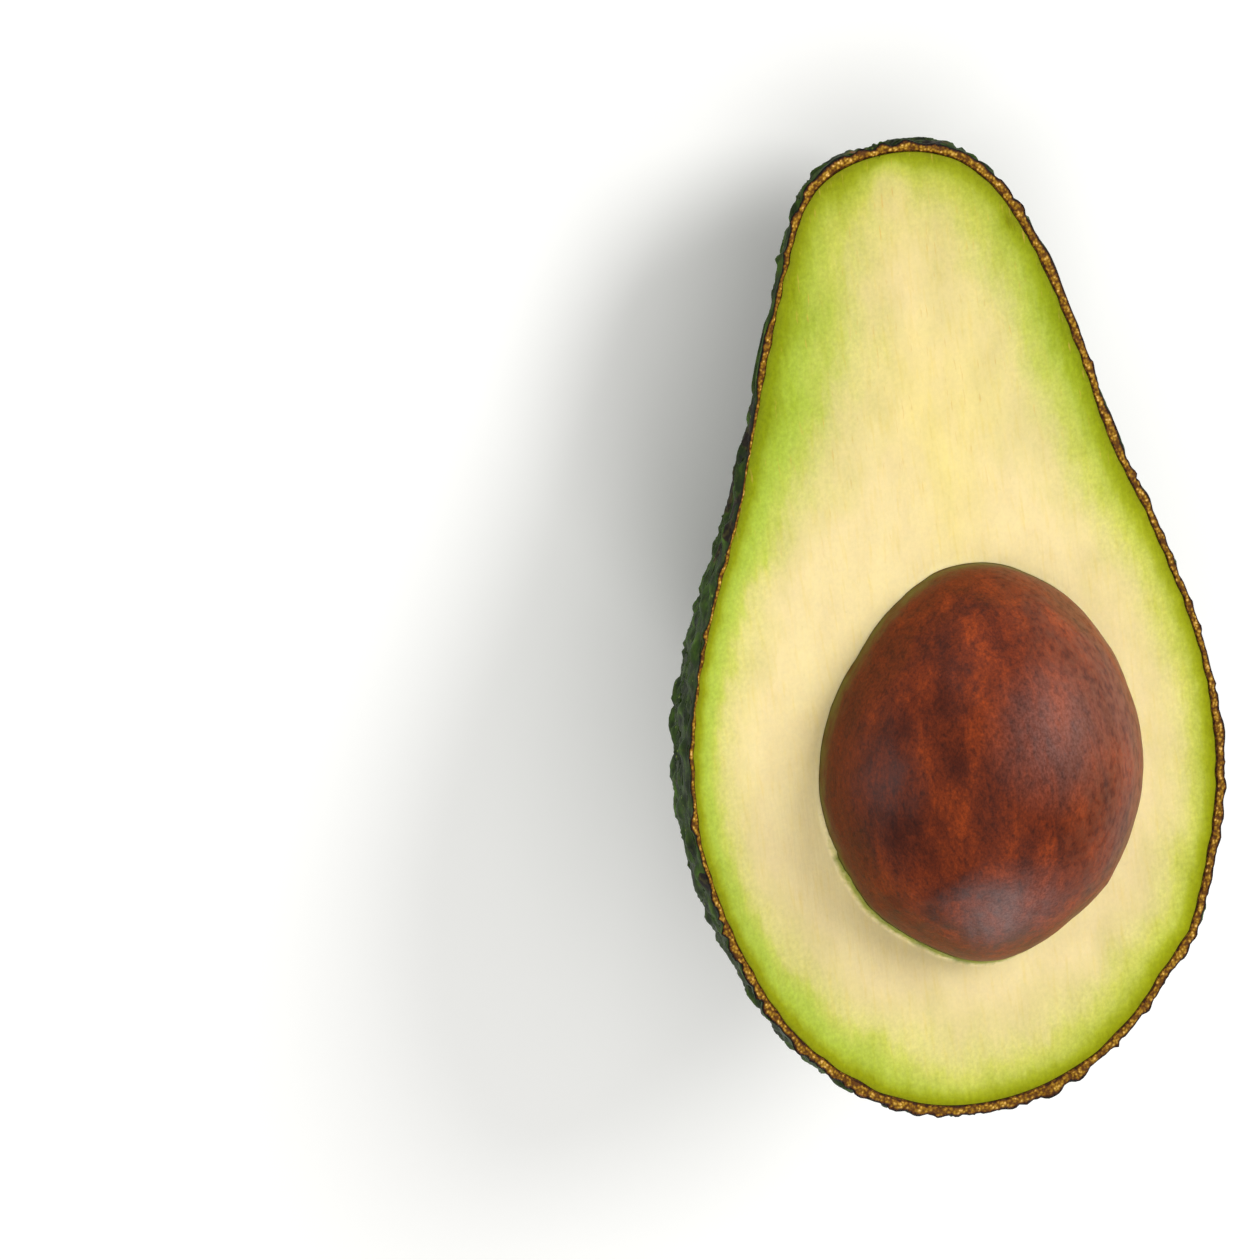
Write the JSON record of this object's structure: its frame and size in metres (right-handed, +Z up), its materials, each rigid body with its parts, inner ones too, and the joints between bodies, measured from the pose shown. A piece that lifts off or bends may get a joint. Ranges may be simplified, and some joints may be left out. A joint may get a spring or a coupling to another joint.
{
  "type": "halved avocado",
  "caption": "Avocado half cut lengthwise, lying on its round back with the cut face up: leathery peel, buttery flesh, and the whole pit seated in it.",
  "frame": {"origin": "the surface that the half rests on, below the middle of its bounding box", "axes": "+Y along the fruit towards its stem end, +Z up out of the cut face's side, +X to the right as seen from above with the stem end away. The half lies on its back as it balances, with the cut face's stem end 12 degrees lower than its blunt end."},
  "size_m": [0.0688, 0.1178, 0.0542],
  "materials": {
    "peel": "satin",
    "flesh": "satin",
    "pit": "satin"
  },
  "bodies": {
    "root": {"peel": "peel", "flesh": "flesh", "pit": "pit"}
  },
  "joints": []
}
